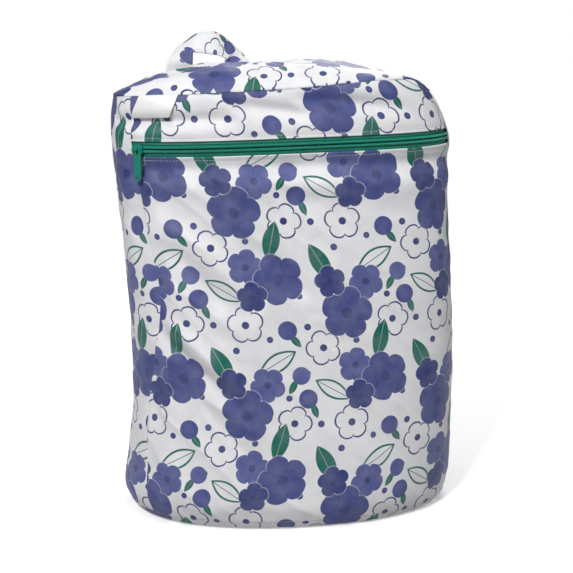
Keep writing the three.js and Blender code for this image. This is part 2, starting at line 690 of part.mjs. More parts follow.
// Materials
const clothPrint = new THREE.MeshStandardMaterial({ color: 0xe9e8ea, roughness: 0.8, metalness: 0 });
const greenTape = new THREE.MeshStandardMaterial({ color: 0x0f7a5e, roughness: 0.75, metalness: 0 });
const greenCoil = new THREE.MeshStandardMaterial({ color: 0x1a8a6c, roughness: 0.4, metalness: 0 });
const greenEnamel = new THREE.MeshStandardMaterial({ color: 0x0b7f5f, roughness: 0.3, metalness: 0.3 });
const whiteTab = new THREE.MeshStandardMaterial({ color: 0xf6f4f4, roughness: 0.6, metalness: 0 });

const bag = new THREE.Group();
const add = (parent, name, geometry, material) => {
  const mesh = new THREE.Mesh(geometry, material);
  mesh.name = name;
  parent.add(mesh);
  return mesh;
};

add(bag, "base_panel", basePanel, clothPrint);
add(bag, "front_panel", frontPanel, clothPrint);
add(bag, "hood_front", hoodFront, clothPrint);
add(bag, "back_panel", backPanel, clothPrint);
add(bag, "top_panel", topPanel, clothPrint);
add(bag, "zip_tape_lower", zipTape(-1), greenTape);
add(bag, "zip_tape_upper", zipTape(1), greenTape);
add(bag, "zip_chain", chain, greenCoil);
add(bag, "handle_strap", strapGeometry(), clothPrint);
add(bag, "woven_tab", tabGeometry(), whiteTab);

// The slider and its pull share a frame on the zip's centre line, facing squarely out from the wall.
const sliderFrame = new THREE.Group();
const sliderNormal = wallNormal(sliderAngle, zipZ(sliderAngle)).setZ(0).normalize();
sliderFrame.position.copy(wallPoint(sliderAngle, zipZ(sliderAngle), 0));
sliderFrame.rotation.z = Math.atan2(sliderNormal.x, -sliderNormal.y);
add(sliderFrame, "zip_slider", fromSolid(sliderSolid()), greenEnamel);
add(sliderFrame, "zip_pull", pullGeometry(), greenEnamel).position.x = BAIL_LEG_OFFSET;
bag.add(sliderFrame);

export default bag;
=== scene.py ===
import math

import bpy
import numpy as np
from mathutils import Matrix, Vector, noise


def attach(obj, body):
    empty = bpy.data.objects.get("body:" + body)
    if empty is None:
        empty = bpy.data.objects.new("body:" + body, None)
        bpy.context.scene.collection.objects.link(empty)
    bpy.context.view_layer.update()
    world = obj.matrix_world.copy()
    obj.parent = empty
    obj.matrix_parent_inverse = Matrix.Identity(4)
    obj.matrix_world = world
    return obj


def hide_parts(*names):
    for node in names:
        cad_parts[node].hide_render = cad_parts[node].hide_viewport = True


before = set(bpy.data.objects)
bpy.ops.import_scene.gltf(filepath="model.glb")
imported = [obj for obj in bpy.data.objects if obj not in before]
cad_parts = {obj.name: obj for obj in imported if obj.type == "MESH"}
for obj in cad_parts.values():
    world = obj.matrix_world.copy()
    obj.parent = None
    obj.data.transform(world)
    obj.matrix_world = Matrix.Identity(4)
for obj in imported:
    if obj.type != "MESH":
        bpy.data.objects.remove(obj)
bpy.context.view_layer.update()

# Camera
# It looks down a little at the bag from the left of its middle, as the photograph does.
# The image is 573 by 573.
scene = bpy.context.scene
camera_data = bpy.data.cameras.new("camera")
camera_data.sensor_width = 36
camera_data.lens = 92.25
camera_data.clip_start = 0.05
camera = bpy.data.objects.new("camera", camera_data)
scene.collection.objects.link(camera)
camera.location = (-0.1841, -1.4036, 0.5297)
aim = Vector((0.0006, -0.0001, 0.2158)) - camera.location
camera.rotation_euler = aim.to_track_quat("-Z", "Y").to_euler()
scene.camera = camera
scene.view_settings.view_transform = "Standard"


# Printed cloth
# Thin smooth polyester with a waterproof back, printed with blossoms, leaves and dots.
# The print repeats every 98 mm across and 190 mm up, each column dropped by half a repeat.
def calc(tree, operation, *values):
    node = tree.nodes.new("ShaderNodeMath")
    node.operation = operation
    for socket, value in zip(node.inputs, values):
        if isinstance(value, (int, float)):
            socket.default_value = value
        else:
            tree.links.new(value, socket)
    return node.outputs[0]


def blend_colours(tree, share, under, over):
    node = tree.nodes.new("ShaderNodeMix")
    node.data_type = "RGBA"
    tree.links.new(share, node.inputs["Factor"])
    for name, value in (("A", under), ("B", over)):
        socket = [s for s in node.inputs if s.name == name and s.type == "RGBA"][0]
        if isinstance(value, tuple):
            socket.default_value = (*value, 1)
        else:
            tree.links.new(value, socket)
    return [s for s in node.outputs if s.type == "RGBA"][0]


def soft_step(tree, value, edge, width):
    """0 below the edge, 1 above it, over a narrow width."""
    node = tree.nodes.new("ShaderNodeMapRange")
    node.interpolation_type = "SMOOTHSTEP"
    node.inputs["From Min"].default_value = edge - width / 2
    node.inputs["From Max"].default_value = edge + width / 2
    tree.links.new(value, node.inputs["Value"])
    return node.outputs["Result"]


REPEAT_WIDTH = 0.098
REPEAT_HEIGHT = 0.190
INKS = {
    "deep": (0.014, 0.019, 0.100),
    "dark": (0.030, 0.042, 0.165),
    "blue": (0.052, 0.066, 0.215),
    "pale": (0.082, 0.098, 0.270),
    "green": (0.000, 0.115, 0.082),
}
GROUND = (0.76, 0.76, 0.775)

# Kind, place across and up in the repeat, size (half the motif's length), turn in degrees, ink
MOTIFS = [
    ("dot", 0.004, 0.006, 0.0032, 0, "dark"),
    ("dot", 0.082, 0.034, 0.0030, 0, "dark"),
    ("dot", 0.034, 0.080, 0.0032, 0, "dark"),
    ("dot", 0.066, 0.090, 0.0030, 0, "dark"),
    ("dot", 0.096, 0.130, 0.0030, 0, "dark"),
    ("dot", 0.014, 0.104, 0.0032, 0, "dark"),
    ("dot", 0.050, 0.182, 0.0030, 0, "dark"),
    ("dot", 0.002, 0.152, 0.0030, 0, "dark"),
    ("bloom_line", 0.087, 0.010, 0.0170, 0, "dark"),
    ("bloom_line", 0.044, 0.104, 0.0175, 24, "dark"),
    ("bloom_line", 0.018, 0.176, 0.0170, 40, "dark"),
    ("leaf", 0.090, 0.088, 0.0080, 310, "green"),
    ("leaf", 0.086, 0.045, 0.0080, 60, "green"),
    ("leaf", 0.008, 0.117, 0.0080, 110, "green"),
    ("bud", 0.083, 0.098, 0.0090, 0, "blue"),
    ("bud", 0.094, 0.055, 0.0085, 100, "pale"),
    ("bud", 0.002, 0.128, 0.0090, 60, "blue"),
    ("leaf_line", 0.072, 0.068, 0.0210, 30, "green"),
    ("leaf", 0.020, 0.066, 0.0200, 118, "green"),
    ("bloom", 0.062, 0.047, 0.0170, 50, "pale"),
    ("bloom", 0.042, 0.018, 0.0250, 10, "blue"),
    ("bloom", 0.028, 0.048, 0.0150, 30, "dark"),
    ("leaf_line", 0.026, 0.136, 0.0195, 150, "green"),
    ("leaf", 0.074, 0.182, 0.0190, 75, "green"),
    ("bloom", 0.048, 0.158, 0.0170, 5, "pale"),
    ("bloom", 0.078, 0.146, 0.0240, 40, "blue"),
    ("bloom", 0.052, 0.130, 0.0145, 20, "dark"),
]


def motif_place(tree, across, up, motif):
    """Place in a motif's own half lengths from its middle, in every repeat at once."""
    x, y, size, turn = motif[1:5]
    dx = calc(tree, "SUBTRACT", across, x)
    column = calc(tree, "ROUND", calc(tree, "DIVIDE", dx, REPEAT_WIDTH))
    dx = calc(tree, "SUBTRACT", dx, calc(tree, "MULTIPLY", column, REPEAT_WIDTH))
    drop = calc(tree, "MULTIPLY_ADD", column, REPEAT_HEIGHT / 2, -y)
    dy = calc(tree, "WRAP", calc(tree, "ADD", up, drop), REPEAT_HEIGHT / 2, -REPEAT_HEIGHT / 2)
    cos = math.cos(math.radians(turn)) / size
    sin = math.sin(math.radians(turn)) / size
    px = calc(tree, "MULTIPLY_ADD", dx, cos, calc(tree, "MULTIPLY", dy, sin))
    py = calc(tree, "MULTIPLY_ADD", dy, cos, calc(tree, "MULTIPLY", dx, -sin))
    return px, py


def print_group():
    tree = bpy.data.node_groups.new("cloth_print", "ShaderNodeTree")
    tree.interface.new_socket("Place", in_out="INPUT", socket_type="NodeSocketVector")
    tree.interface.new_socket("Colour", in_out="OUTPUT", socket_type="NodeSocketColor")
    inside = tree.nodes.new("NodeGroupInput")
    outside = tree.nodes.new("NodeGroupOutput")
    wobble = tree.nodes.new("ShaderNodeTexNoise")
    wobble.noise_dimensions = "2D"
    wobble.inputs["Scale"].default_value = 90
    wobble.inputs["Detail"].default_value = 1
    tree.links.new(inside.outputs["Place"], wobble.inputs["Vector"])
    parts = tree.nodes.new("ShaderNodeSeparateXYZ")
    tree.links.new(inside.outputs["Place"], parts.inputs[0])
    across, up = parts.outputs[0], parts.outputs[1]
    uneven = calc(tree, "MULTIPLY_ADD", wobble.outputs["Fac"], 0.08, -0.04)
    colour = GROUND
    for motif in MOTIFS:
        kind, size, tone = motif[0], motif[3], INKS[motif[5]]
        px, py = motif_place(tree, across, up, motif)
        radius = calc(tree, "SQRT", calc(tree, "MULTIPLY_ADD", px, px, calc(tree, "MULTIPLY", py, py)))
        fine = 0.0006 / size
        if kind in ("bloom", "bloom_line"):
            lobe = calc(tree, "COSINE", calc(tree, "MULTIPLY", calc(tree, "ARCTAN2", py, px), 2.5))
            lobe = calc(tree, "ABSOLUTE", lobe)
            petal = calc(tree, "MULTIPLY_ADD", calc(tree, "POWER", lobe, 0.5), 0.28, 0.72)
            depth = calc(tree, "SUBTRACT", calc(tree, "ADD", petal, uneven), radius)
            heart = calc(tree, "SUBTRACT", 1, soft_step(tree, radius, 0.2, fine))
        if kind == "bloom":
            mask = soft_step(tree, depth, 0, fine)
            fold = soft_step(tree, calc(tree, "MULTIPLY", lobe, radius), 0.035, 0.04)
            rib = calc(tree, "SUBTRACT", 1, fold)
            rib = calc(tree, "MULTIPLY", rib, soft_step(tree, radius, 0.42, 0.1))
            rib = calc(tree, "MAXIMUM", rib, heart)
            halo = calc(tree, "MULTIPLY", soft_step(tree, depth, -0.0009 / size, fine), 0.35)
            shade = blend_colours(tree, calc(tree, "MULTIPLY", rib, 0.65), tone, INKS["deep"])
            colour = blend_colours(tree, halo, colour, GROUND)
            colour = blend_colours(tree, mask, colour, shade)
        elif kind == "bloom_line":
            line = calc(tree, "ABSOLUTE", calc(tree, "SUBTRACT", depth, 0.05))
            mask = calc(tree, "SUBTRACT", 1, soft_step(tree, line, 0.0008 / size, fine))
            mask = calc(tree, "MAXIMUM", mask, heart)
            colour = blend_colours(tree, mask, colour, tone)
        elif kind in ("bud", "dot"):
            mask = calc(tree, "SUBTRACT", 1, soft_step(tree, radius, 1, fine))
            core = calc(tree, "SUBTRACT", 1, soft_step(tree, radius, 0.5, 0.6))
            shade = blend_colours(tree, calc(tree, "MULTIPLY", core, 0.6), tone, INKS["pale"])
            colour = blend_colours(tree, mask, colour, shade)
        else:
            bow = calc(tree, "MULTIPLY_ADD", calc(tree, "MULTIPLY", px, px), -0.42, 0.42)
            edge = calc(tree, "SUBTRACT", bow, calc(tree, "ABSOLUTE", py))
            middle = calc(tree, "ABSOLUTE", py)
            if kind == "leaf":
                mask = soft_step(tree, edge, 0, fine)
                vein = calc(tree, "SUBTRACT", 1, soft_step(tree, middle, 0.02, 0.03))
                shade = blend_colours(tree, calc(tree, "MULTIPLY", vein, 0.3), tone, GROUND)
                colour = blend_colours(tree, mask, colour, shade)
            else:
                inside_leaf = soft_step(tree, edge, 0, fine)
                line = calc(tree, "SUBTRACT", 1, soft_step(tree, edge, 0.1, fine))
                vein = calc(tree, "SUBTRACT", 1, soft_step(tree, middle, 0.018, 0.02))
                mask = calc(tree, "MULTIPLY", calc(tree, "MAXIMUM", line, vein), inside_leaf)
                colour = blend_colours(tree, inside_leaf, colour, GROUND)
                colour = blend_colours(tree, mask, colour, tone)
    tree.links.new(colour, outside.inputs["Colour"])
    return tree


def cloth_material(name):
    material = bpy.data.materials.new(name)
    material.use_nodes = True
    tree = material.node_tree
    shader = tree.nodes["Principled BSDF"]
    place = tree.nodes.new("ShaderNodeUVMap")
    place.uv_map = "print"
    printed = tree.nodes.new("ShaderNodeGroup")
    printed.node_tree = bpy.data.node_groups.get("cloth_print") or print_group()
    tree.links.new(place.outputs[0], printed.inputs[0])
    cloud = tree.nodes.new("ShaderNodeTexNoise")
    cloud.inputs["Scale"].default_value = 60
    cloud.inputs["Detail"].default_value = 6
    tree.links.new(place.outputs[0], cloud.inputs["Vector"])
    # Grey noise mottling blended into the cloth's colour here is painted shade, standing in for the soft
    # grey shading of the cloth's small folds; the same noise also varies the roughness.
    painted_shade_mottle = blend_colours(
        tree,
        calc(tree, "MULTIPLY", soft_step(tree, cloud.outputs["Fac"], 0.55, 0.5), 0.18),
        printed.outputs["Colour"],
        (0.40, 0.40, 0.50),
    )
    tree.links.new(painted_shade_mottle, shader.inputs["Base Color"])
    rough = calc(tree, "MULTIPLY_ADD", cloud.outputs["Fac"], 0.16, 0.46)
    tree.links.new(rough, shader.inputs["Roughness"])
    shader.inputs["Specular IOR Level"].default_value = 0.3
    shader.inputs["Sheen Weight"].default_value = 0.03
    shader.inputs["Sheen Roughness"].default_value = 0.4
    weave = []
    for axis in (0, 1):
        wave = tree.nodes.new("ShaderNodeTexWave")
        wave.bands_direction = "XY"[axis]
        wave.inputs["Scale"].default_value = 500
        tree.links.new(place.outputs[0], wave.inputs["Vector"])
        weave.append(wave.outputs["Fac"])
    height = calc(tree, "ADD", weave[0], weave[1])
    bump = tree.nodes.new("ShaderNodeBump")
    bump.inputs["Strength"].default_value = 0.25
    bump.inputs["Distance"].default_value = 0.0001
    tree.links.new(height, bump.inputs["Height"])
    tree.links.new(bump.outputs[0], shader.inputs["Normal"])
    return material


printed_cloth = cloth_material("printed_cloth")


# Walls of the tub
# A front panel and one panel for the sides and back, of the printed cloth, sewn together
# down both sides and sagging a little. The front's top edge is folded back along the zip.
HALF_WIDTH = 0.163
HALF_DEPTH = 0.104
BAG_HEIGHT = 0.420
BASE_RISE = 0.009
WALL_HEIGHT = BAG_HEIGHT - BASE_RISE
ZIP_HEIGHT = 0.3635
ZIP_TILT = 0.004
ZIP_OPENING = 0.015
ZIP_LEVEL = (ZIP_HEIGHT - BASE_RISE) / WALL_HEIGHT
CLOTH = 0.0018

# Level, width, depth, square and lean of the plan sections
SECTIONS = np.array([
    (0.0, 0.975, 0.965, 2.2, 0.012),
    (0.04, 1.0, 1.0, 2.25, 0.006),
    (0.12, 0.987, 0.98, 2.4, 0.028),
    (0.28, 0.972, 0.905, 2.6, 0.043),
    (0.5, 0.972, 0.82, 2.8, 0.025),
    (0.72, 0.975, 0.735, 2.9, -0.013),
    (0.86, 0.99, 0.69, 3.1, -0.028),
    (0.93, 0.968, 0.665, 3.2, -0.049),
    (0.98, 0.94, 0.64, 3.2, -0.07),
    (1.0, 0.922, 0.61, 3.2, -0.083),
])

# Along, level, tilt, length, breadth and rise of the folds
FOLDS = [
    (-0.67, 0.93, 1, 0.34, 0.045, -0.062),
    (-0.05, 0.95, -10, 0.24, 0.045, -0.058),
    (0.36, 0.957, -9, 0.32, 0.045, -0.062),
    (-0.38, 0.814, 1, 0.6, 0.055, -0.055),
    (0.52, 0.817, 0, 0.6, 0.055, -0.058),
    (0.0, 0.772, 0, 0.95, 0.08, 0.028),
    (-0.42, 0.765, -36, 0.14, 0.05, -0.035),
    (0.0, 0.752, -21, 0.15, 0.055, -0.035),
    (-0.58, 0.566, -49, 0.25, 0.06, -0.05),
    (-0.47, 0.6, -49, 0.25, 0.06, 0.04),
    (-0.13, 0.59, -42, 0.22, 0.06, -0.04),
    (-0.63, 0.354, -42, 0.3, 0.045, -0.05),
    (-0.57, 0.39, -42, 0.3, 0.05, 0.035),
    (-0.52, 0.238, -49, 0.38, 0.06, -0.035),
    (-0.91, 0.75, 82, 0.2, 0.06, -0.035),
    (-0.82, 0.517, 88, 0.25, 0.06, -0.04),
    (-0.92, 0.312, 89, 0.2, 0.06, -0.035),
    (-1.55, 0.5, 86, 0.6, 0.12, -0.05),
    (1.6, 0.45, 95, 0.6, 0.12, -0.04),
]

# Level, and the left and right seams in degrees from mid front
SIDE_SEAMS = np.array([
    (0.0, -58, 66),
    (0.25, -61, 66),
    (0.5, -49.5, 66),
    (0.75, -53, 66),
    (1.0, -53.5, 66),
])

# Degrees from mid front, and how far the top seam stands above its plain height there
RIM = np.array([
    (-180, 0.007), (-120, -0.013), (-60, -0.011), (0, -0.004), (45, 0.003),
    (62, -0.009), (90, -0.013), (130, -0.004), (180, 0.007),
])


def table_at(rows, column, value):
    keys, values = rows[:, 0], rows[:, column]
    at = np.clip(value, keys[0], keys[-1])
    i = np.clip(np.searchsorted(keys, at, side="left") - 1, 0, len(keys) - 2)
    order = np.arange(len(keys))
    before, after = np.maximum(order - 1, 0), np.minimum(order + 1, len(keys) - 1)
    slope = (values[after] - values[before]) / (keys[after] - keys[before])
    step = keys[i + 1] - keys[i]
    t = (at - keys[i]) / step
    rise = values[i + 1] - values[i]
    bend = (slope[i] * step - rise) * (1 - t) + (rise - slope[i + 1] * step) * t
    return values[i] + rise * t + bend * t * (1 - t)


def plan_point(angle, level):
    power = table_at(SECTIONS, 3, level)
    reach = (np.abs(np.sin(angle)) ** power + np.abs(np.cos(angle)) ** power) ** (-1 / power)
    lean = table_at(SECTIONS, 4, level)
    x = HALF_WIDTH * (lean + table_at(SECTIONS, 1, level) * reach * np.sin(angle))
    y = -HALF_DEPTH * table_at(SECTIONS, 2, level) * reach * np.cos(angle)
    return x, y


arc_angles = np.linspace(0, math.pi, 181)
arc_xy = np.stack(plan_point(arc_angles, np.full(len(arc_angles), 0.5)), 1)
arc_lengths = np.concatenate([[0], np.cumsum(np.linalg.norm(np.diff(arc_xy, axis=0), axis=1))])


def wrapped(angle):
    return np.arctan2(np.sin(angle), np.cos(angle))


def arc_at(angle):
    """Arc length from mid front, going on past mid back where the angle does."""
    turns = np.round(angle / (2 * math.pi))
    turn = wrapped(angle)
    return np.sign(turn) * np.interp(np.abs(turn), arc_angles, arc_lengths) + turns * 2 * arc_lengths[-1]


def angle_at_arc(arc):
    return np.sign(arc) * np.interp(np.abs(arc), arc_lengths, arc_angles)


def fold_rise(angle, level):
    arc = arc_at(wrapped(angle)) / HALF_WIDTH
    total = np.zeros_like(arc)
    for along, fold_level, tilt, length, breadth, rise in FOLDS:
        cos, sin = math.cos(math.radians(tilt)), math.sin(math.radians(tilt))
        across = arc - along
        up = (level - fold_level) * WALL_HEIGHT / HALF_WIDTH
        lengthwise = (across * cos + up * sin) / length
        crosswise = (up * cos - across * sin) / breadth
        total += rise * HALF_DEPTH * np.exp(-crosswise**2) * np.exp(-lengthwise**4)
    return total


def zip_z(angle):
    return ZIP_HEIGHT + ZIP_TILT * np.sin(angle)


def rim_z(angle):
    return BAG_HEIGHT + table_at(RIM, 1, np.degrees(wrapped(angle)))


def seam_angle(column, z):
    return np.radians(table_at(SIDE_SEAMS, column, (z - BASE_RISE) / WALL_HEIGHT))


def left_seam(z):
    return seam_angle(1, z)


def right_seam(z):
    return seam_angle(2, z)


def left_seam_round_back(z):
    return seam_angle(1, z) + 2 * math.pi


def level_at(angle, z):
    low = (z - BASE_RISE) / WALL_HEIGHT
    high = ZIP_LEVEL + (1 - ZIP_LEVEL) * (z - ZIP_HEIGHT) / (rim_z(angle) - ZIP_HEIGHT)
    return np.where(z <= ZIP_HEIGHT, low, high)


def plain_wall(angle, z):
    x, y = plan_point(angle, level_at(angle, z))
    return np.stack([x, y, z + 0 * angle], -1)


def wall_normal(angle, z):
    top = np.minimum(z + 0.001, rim_z(angle))
    along = plain_wall(angle + 0.01, z) - plain_wall(angle - 0.01, z)
    up = plain_wall(angle, top) - plain_wall(angle, top - 0.002)
    normal = np.cross(along, up)
    return normal / np.linalg.norm(normal, axis=-1, keepdims=True)


def wall_point(angle, z, out=0.0):
    rise = fold_rise(angle, level_at(angle, z)) + out
    return plain_wall(angle, z) + wall_normal(angle, z) * np.asarray(rise)[..., None]


def ripple(across, up, seed):
    """Smooth noise over a grid of places, from -1 to 1."""
    flat = [noise.noise(Vector((a, b, seed))) for a, b in zip(across.ravel(), up.ravel())]
    return np.array(flat).reshape(across.shape)


BROAD_CREASE = 0.0027
SHARP_CREASE = 0.0013
FINE_CREASE = 0.0005


def creases(arc, z):
    """Small creases of the thin cloth, sloping down to the right and fainter there."""
    slope, steep = 0.74, 0.67
    along = arc * slope - z * steep
    across = arc * steep + z * slope
    broad = ripple(along / 0.09, across / 0.034, 3.1)
    sharp = 1 - 2 * np.abs(ripple(along / 0.11 + 7, across / 0.026, 8.7))
    fine = ripple(along / 0.024, across / 0.013, 5.5)
    slack = np.interp(arc, [-0.1, 0.13], [1.2, 0.65])
    return slack * (BROAD_CREASE * broad + SHARP_CREASE * np.clip(sharp, 0, 1) ** 3 + FINE_CREASE * fine)


def puckers(distance, along, seed, size=0.0007, reach=0.014, pitch=0.011):
    """Ripples at a seam, where the thread has gathered the cloth."""
    return size * ripple(along / pitch, distance / 0.05, seed) * np.exp(-distance / reach)


def shares(count, edge, extra):
    """Shares from 0 to 1, closer together near both ends."""
    inner = np.linspace(edge, 1 - edge, count)
    near = edge * np.linspace(0, 1, extra, endpoint=False) ** 1.4
    return np.concatenate([near, inner, 1 - near[::-1]])


def grid_mesh(name, points, places, material, wrap=False, closed_row=None):
    """A cloth piece from a grid of points, with the places that its print is read at."""
    rows, columns = points.shape[:2]
    index = np.arange(rows * columns).reshape(rows, columns)
    if wrap:
        index = np.concatenate([index, index[:, :1]], 1)
    corners = [index[:-1, :-1], index[:-1, 1:], index[1:, 1:], index[1:, :-1]]
    faces = np.stack(corners, -1).reshape(-1, 4).tolist()
    if closed_row == "first":
        faces.append(index[0, -2::-1].tolist())
    if closed_row == "last":
        faces.append(index[-1, :-1].tolist())
    mesh = bpy.data.meshes.new(name)
    mesh.from_pydata(points.reshape(-1, 3).tolist(), [], faces)
    layer = mesh.uv_layers.new(name="print")
    layer.data.foreach_set("uv", places.reshape(-1, 2)[np.concatenate(faces)].ravel())
    mesh.polygons.foreach_set("use_smooth", [True] * len(faces))
    piece = bpy.data.objects.new(name, mesh)
    scene.collection.objects.link(piece)
    mesh.materials.append(material)
    return piece


SEAM_GROOVE = 0.0003
SIDE_SEED = 1.3
EDGE_SEED = 4.1
STITCH_INSET = 0.003
STITCH_GROOVE = 0.0006
EDGE_PUCKER = 0.0006
stitch_lines = []
# The middle of the tab along the front, and the cloth that lies flat under it
TAB_MIDDLE = -0.120
TAB_REACH = 0.03
TAB_COVER = 0.027
# How far a folded edge goes past its fold, and how far behind the face it lies
HEM_TURNS = [(0.0004, 0.0004), (0.0006, 0.001), (0.0002, 0.0016), (-0.001, 0.002), (-0.006, 0.002)]


def wall_piece(name, start, end, bottom, top, columns, rows, hem_low=False, hem_high=False):
    """A panel of the wall, turned in at its seams and folded back where it meets the zip."""
    u = shares(columns, 0.02, 6)[None, :]
    v = shares(rows, 0.02, 5)[:, None]
    rough = start(ZIP_HEIGHT) * (1 - u) + end(ZIP_HEIGHT) * u
    height = bottom(rough) * (1 - v) + top(rough) * v
    angle = start(height) * (1 - u) + end(height) * u
    low, high = bottom(angle), top(angle)
    z = low * (1 - v) + high * v
    arc = arc_at(angle)
    side = np.maximum(np.minimum(arc - arc_at(start(z)), arc_at(end(z)) - arc), 0)
    out = creases(arc, z) * np.clip(side / 0.02, 0, 1)
    out += puckers(side, z, SIDE_SEED)
    out -= SEAM_GROOVE * np.exp(-((side / 0.0012) ** 1.3))
    for distance, hem in ((z - low, hem_low), (high - z, hem_high)):
        distance = np.maximum(distance, 0)
        fade = np.clip(distance / 0.012, 0, 1)
        out = out * (0.25 + 0.75 * fade)
        out += puckers(distance, arc, EDGE_SEED, EDGE_PUCKER)
        if not hem:
            out -= SEAM_GROOVE * np.exp(-((distance / 0.0014) ** 1.3))
    under_tab = (np.abs(arc - TAB_MIDDLE) < TAB_REACH) & (high - z < TAB_COVER)
    out = np.where(under_tab, np.minimum(out, 0), out)
    if hem_low or hem_high:
        line = low + STITCH_INSET if hem_low else high - STITCH_INSET
        out -= STITCH_GROOVE * np.exp(-(((z - line) / 0.0011) ** 2))
        row = 0 if hem_low else -1
        rise = [np.interp(line[row, c], z[:, c], out[:, c]) for c in range(z.shape[1])]
        stitch_lines.append((arc[row], line[row], np.array(rise)))
    blocks = [wall_point(angle, z, out)]
    places = [np.stack([arc, z + 0 * arc], -1)]
    for is_low, hem in ((True, hem_low), (False, hem_high)):
        if not hem:
            continue
        row = 0 if is_low else -1
        sign = 1 if is_low else -1
        edge_angle, edge_z, edge_out = angle[row], z[row], out[row]
        turned, read = [], []
        for past, depth in HEM_TURNS:
            turned.append(wall_point(edge_angle, edge_z - sign * past, edge_out - depth))
            read.append(np.stack([arc[row], edge_z - sign * abs(past)], -1))
        turned, read = np.array(turned), np.array(read)
        if is_low:
            blocks.insert(0, turned[::-1])
            places.insert(0, read[::-1])
        else:
            blocks.append(turned)
            places.append(read)
    piece = grid_mesh(name, np.concatenate(blocks), np.concatenate(places), printed_cloth)
    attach(piece, "bag")
    return piece


def base_seam(angle):
    return BASE_RISE + 0 * angle


def zip_low_edge(angle):
    return zip_z(angle) - ZIP_OPENING / 2


def zip_high_edge(angle):
    return zip_z(angle) + ZIP_OPENING / 2


tub_front = wall_piece(
    "tub_front", left_seam, right_seam, base_seam, zip_low_edge, 190, 150, hem_high=True
)
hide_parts("front_panel")
tub_back = wall_piece(
    "tub_sides_and_back", right_seam, left_seam_round_back, base_seam, rim_z, 250, 160
)
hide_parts("back_panel")


# Hood above the zip
# A low band of the same printed cloth. Its lower edge is folded back along the zip
# and its upper edge is sewn to the top.
hood = wall_piece(
    "hood", left_seam, right_seam, zip_high_edge, rim_z, 190, 22, hem_low=True
)
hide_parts("hood_front")


# Top
# One oval of the same printed cloth, sewn in all round, its edge rolled over the seam.
# It rises in a low dome with soft dents.
TOP_DOME = 0.018
TOP_SHOULDER = 2.4
TOP_LIP = 0.0008
TOP_PROUD = 0.0006
TOP_TURN = 0.0015
TOP_REACH = 0.07
TOP_CREASE = 0.7
TOP_CREASE_SCALE = 1.3
TOP_PUCKER = 0.0009
TOP_GROOVE = 0.0004
TOP_SEED = 2.2
TOP_PRINT = np.array([0.31, 0.44])
# Place across and back, radius and share of the dome that each dent sinks
TOP_DENTS = [(-0.15, 0.15, 0.22, 0.25), (-0.62, -0.1, 0.2, 0.22), (0.5, -0.25, 0.24, 0.2)]


def top_point(angle, share):
    rim = wall_point(angle, rim_z(angle), TOP_LIP)
    x = SECTIONS[-1, 4] * HALF_WIDTH * (1 - share) + rim[..., 0] * share
    y = rim[..., 1] * share
    crown = BAG_HEIGHT + TOP_DOME
    z = crown + (rim[..., 2] + TOP_PROUD - crown) * share**TOP_SHOULDER
    for across, back, radius, sink in TOP_DENTS:
        away = np.hypot(x / HALF_WIDTH - across, y / HALF_DEPTH - back) / radius
        z = z - sink * TOP_DOME * np.exp(-(away**2)) * (1 - share**4)
    return np.stack([x, y, z], -1)


spokes = np.linspace(-math.pi, math.pi, 300, endpoint=False)[None, :]
rings = np.concatenate([np.linspace(0.01, 0.96, 44), [0.975, 0.985, 0.992, 0.997, 1.0]])[:, None]
top_points = top_point(spokes + 0 * rings, rings + 0 * spokes)
edge_gap = (1 - rings) * TOP_REACH
top_creases = creases(top_points[..., 0] * TOP_CREASE_SCALE, top_points[..., 1] * TOP_CREASE_SCALE)
top_points[..., 2] += TOP_CREASE * top_creases * (1 - rings**6)
top_puckers = puckers(edge_gap + 0 * spokes, arc_at(spokes + 0 * rings), TOP_SEED, TOP_PUCKER)
top_points[..., 2] += top_puckers
top_points[..., 2] -= TOP_GROOVE * np.exp(-((edge_gap / 0.0012) ** 1.3)) + 0 * spokes
turned_edge = top_points[-1:] - np.array([0, 0, TOP_TURN])
top_points = np.concatenate([top_points, turned_edge])
top_places = top_points[..., :2] + TOP_PRINT
top = grid_mesh("top", top_points[::-1], top_places[::-1], printed_cloth, wrap=True, closed_row="last")
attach(top, "bag")
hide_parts("top_panel")


# Base
# A flat oval of the same printed cloth, lying on the floor.
# Its edge is turned up and sewn to the walls a finger's width above the floor.
BASE_PROFILE = np.array([(0.0, 0.0), (0.5, 0.0), (0.9, 0.0), (0.965, 0.25), (1.0, 1.0)])
base_shares = np.concatenate([np.linspace(0.01, 0.898, 18), np.linspace(0.9, 1.0, 20)])[:, None]
climb = np.interp(base_shares, BASE_PROFILE[:, 0], BASE_PROFILE[:, 1])
seam = wall_point(spokes, np.full_like(spokes, BASE_RISE))
base_points = np.concatenate(
    [seam[..., :2] * base_shares[..., None], (climb * BASE_RISE + 0 * spokes)[..., None]], -1
)
# Its turned-up edge goes on with the print of the walls
BASE_REACH = 0.13
BASE_FLAT_SHARE = 0.899
BASE_PRINT = 0.7
rim_up = climb * BASE_RISE - (1 - base_shares) * BASE_REACH
rim_places = np.stack([arc_at(spokes) + 0 * base_shares, rim_up + 0 * spokes], -1)
flat_places = base_points[..., :2] + BASE_PRINT
base_places = np.where(base_shares[..., None] < BASE_FLAT_SHARE, flat_places, rim_places)
base = grid_mesh("base", base_points, base_places, printed_cloth, wrap=True, closed_row="first")
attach(base, "bag")
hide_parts("base_panel")


